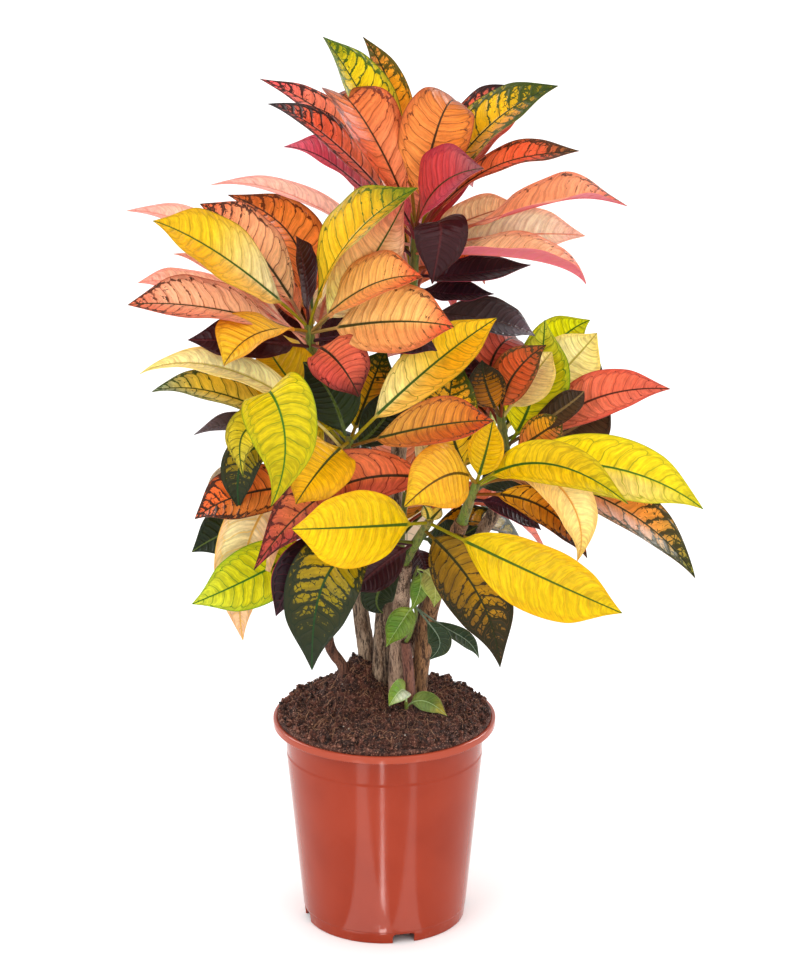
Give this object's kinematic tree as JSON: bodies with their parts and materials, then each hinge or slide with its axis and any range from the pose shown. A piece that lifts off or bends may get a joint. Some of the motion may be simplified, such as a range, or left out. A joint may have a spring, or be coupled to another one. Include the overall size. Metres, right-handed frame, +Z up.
{
  "type": "potted croton",
  "caption": "Tall house plant with broad, pointed leaves in red, orange, yellow, green and dark purple on woody stems, standing in compost in a round terracotta-coloured plastic pot.",
  "frame": {"origin": "on the pot's axis, at the middle of its base, at the level that the pot stands on", "axes": "+Z up along the pot's axis, front of the plant towards -Y, +X to the right as seen from the front"},
  "size_m": [0.548, 0.3843, 0.8914],
  "materials": {
    "pot_plastic": "terracotta-coloured injection-moulded plastic, satin gloss",
    "compost": "dark brown fibrous compost with pale specks, matt",
    "bark": "grey-brown bark with leaf scars, matt",
    "leaf": "waxy leathery leaves, yellow, orange, red and green with dark midribs, satin gloss",
    "young_leaf": "fresh green leaves, satin gloss"
  },
  "bodies": {
    "root": {"pot": "pot_plastic", "soil": "compost", "stem_top": "bark", "crown_top": "leaf", "stem_upper_left": "bark", "crown_upper_left": "leaf", "stem_left": "bark", "crown_left": "leaf", "stem_rear_right": "bark", "crown_rear_right": "leaf", "stem_right": "bark", "crown_right": "leaf", "stem_low_middle": "bark", "crown_low_middle": "leaf", "stem_rear": "bark", "crown_rear": "leaf", "stub": "bark", "young_shoot": "young_leaf", "basal_sprout": "young_leaf"}
  },
  "joints": []
}
